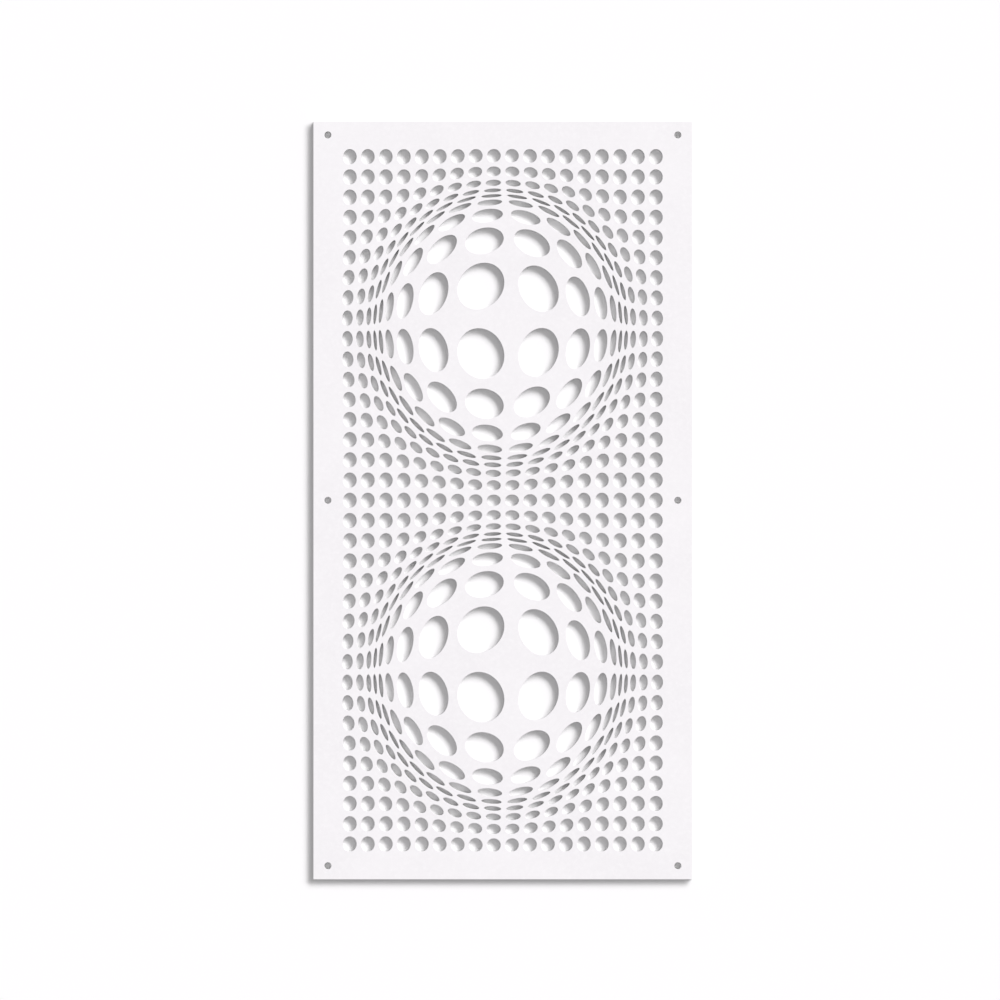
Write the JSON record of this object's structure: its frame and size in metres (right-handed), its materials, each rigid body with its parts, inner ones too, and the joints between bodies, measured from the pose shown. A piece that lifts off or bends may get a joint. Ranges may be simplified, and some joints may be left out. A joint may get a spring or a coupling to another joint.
{
  "type": "perforated screen panel",
  "caption": "Flat white PVC screen panel, perforated with a grid of oval holes that swells into round domes, with fixing holes along both long sides.",
  "frame": {"origin": "middle of the sheet's back face, which lies on Z = 0", "axes": "+X across the sheet's width, +Y along its length towards the end shown at the top, +Z out of its front face"},
  "size_m": [0.6, 1.2, 0.01],
  "materials": {
    "pvc": "matte white, smooth skin"
  },
  "bodies": {
    "root": {"panel": "pvc"}
  },
  "joints": []
}
